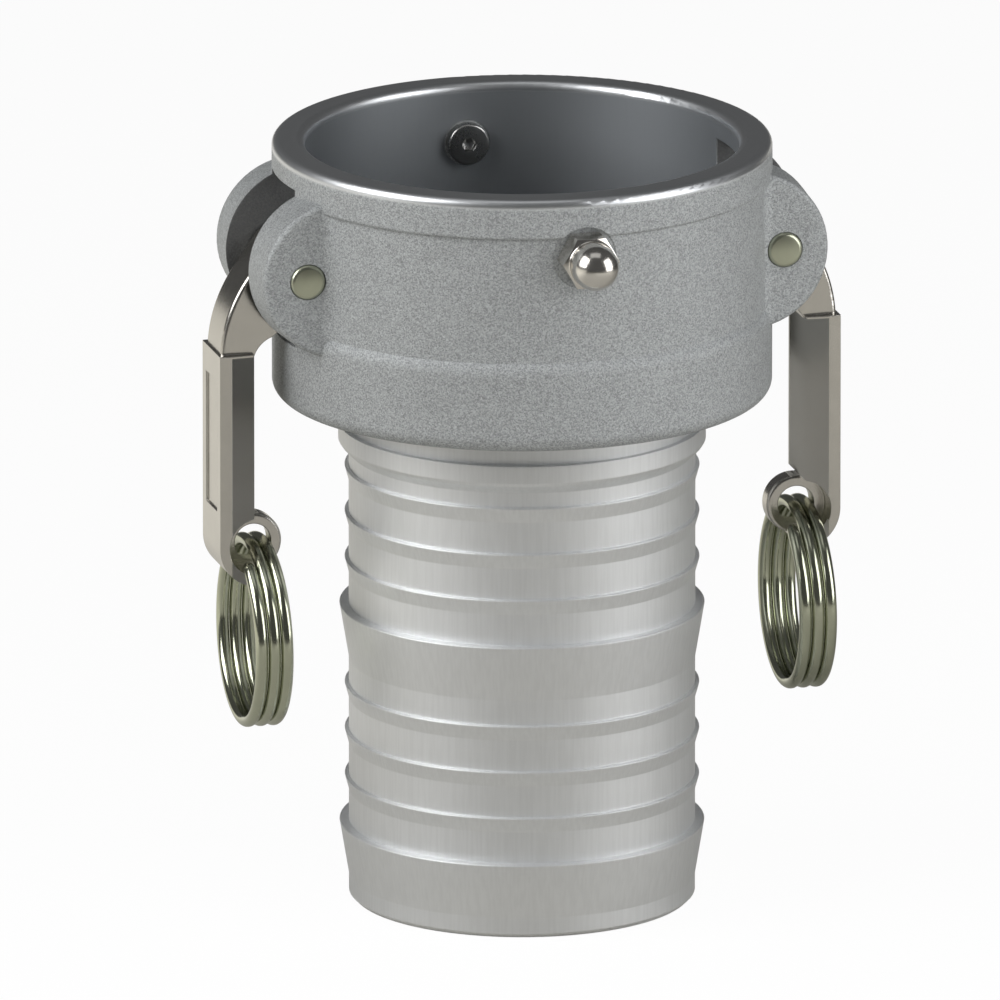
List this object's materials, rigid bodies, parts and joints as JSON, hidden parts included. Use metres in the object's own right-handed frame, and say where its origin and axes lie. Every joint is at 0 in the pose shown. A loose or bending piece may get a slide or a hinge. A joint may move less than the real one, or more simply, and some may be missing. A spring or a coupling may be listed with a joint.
{
  "type": "cam and groove coupling",
  "caption": "Cam and groove hose coupling: cast socket with barbed hose shank, gasket, hinged cam arms that clamp an adapter, and wire pull rings.",
  "frame": {"origin": "centre of the end face of the hose shank, on which the coupling stands", "axes": "+Z along the coupling's axis towards the mouth, +X and -X through the cam arms, +Y and -Y through the screws"},
  "size_m": [0.1778, 0.1714, 0.2171],
  "materials": {
    "cast_aluminium": "sand cast, with machined rim, bore and shank",
    "cast_steel": "satin investment cast stainless steel",
    "polished_steel": "drawn and polished stainless wire and bar",
    "fastener_steel": "polished stainless steel",
    "gasket_rubber": "matt moulded rubber"
  },
  "bodies": {
    "shell": {"coupler_body": "cast_aluminium", "gasket": "gasket_rubber", "left_hinge_pin": "polished_steel", "right_hinge_pin": "polished_steel", "front_screw": "fastener_steel", "rear_screw": "fastener_steel", "front_cap_nut": "fastener_steel", "rear_cap_nut": "fastener_steel"},
    "left_arm": {"left_cam_arm": "cast_steel"},
    "right_arm": {"right_cam_arm": "cast_steel"},
    "left_ring": {"left_pull_ring": "polished_steel"},
    "right_ring": {"right_pull_ring": "polished_steel"}
  },
  "joints": [
    {"name": "left_arm_hinge", "type": "hinge", "parent": "shell", "child": "left_arm", "pos_m": [-0.0682, 0, 0.1869], "axis": [0, 1, 0], "range_deg": [0, 105]},
    {"name": "right_arm_hinge", "type": "hinge", "parent": "shell", "child": "right_arm", "pos_m": [0.0682, 0, 0.1869], "axis": [0, -1, 0], "range_deg": [0, 105]},
    {"name": "left_ring_swing", "type": "hinge", "parent": "left_arm", "child": "left_ring", "pos_m": [-0.0766, 0, 0.1065], "axis": [0, 1, 0], "range_deg": [-20, 90]},
    {"name": "right_ring_swing", "type": "hinge", "parent": "right_arm", "child": "right_ring", "pos_m": [0.0792, 0, 0.1065], "axis": [0, -1, 0], "range_deg": [-20, 90]}
  ]
}
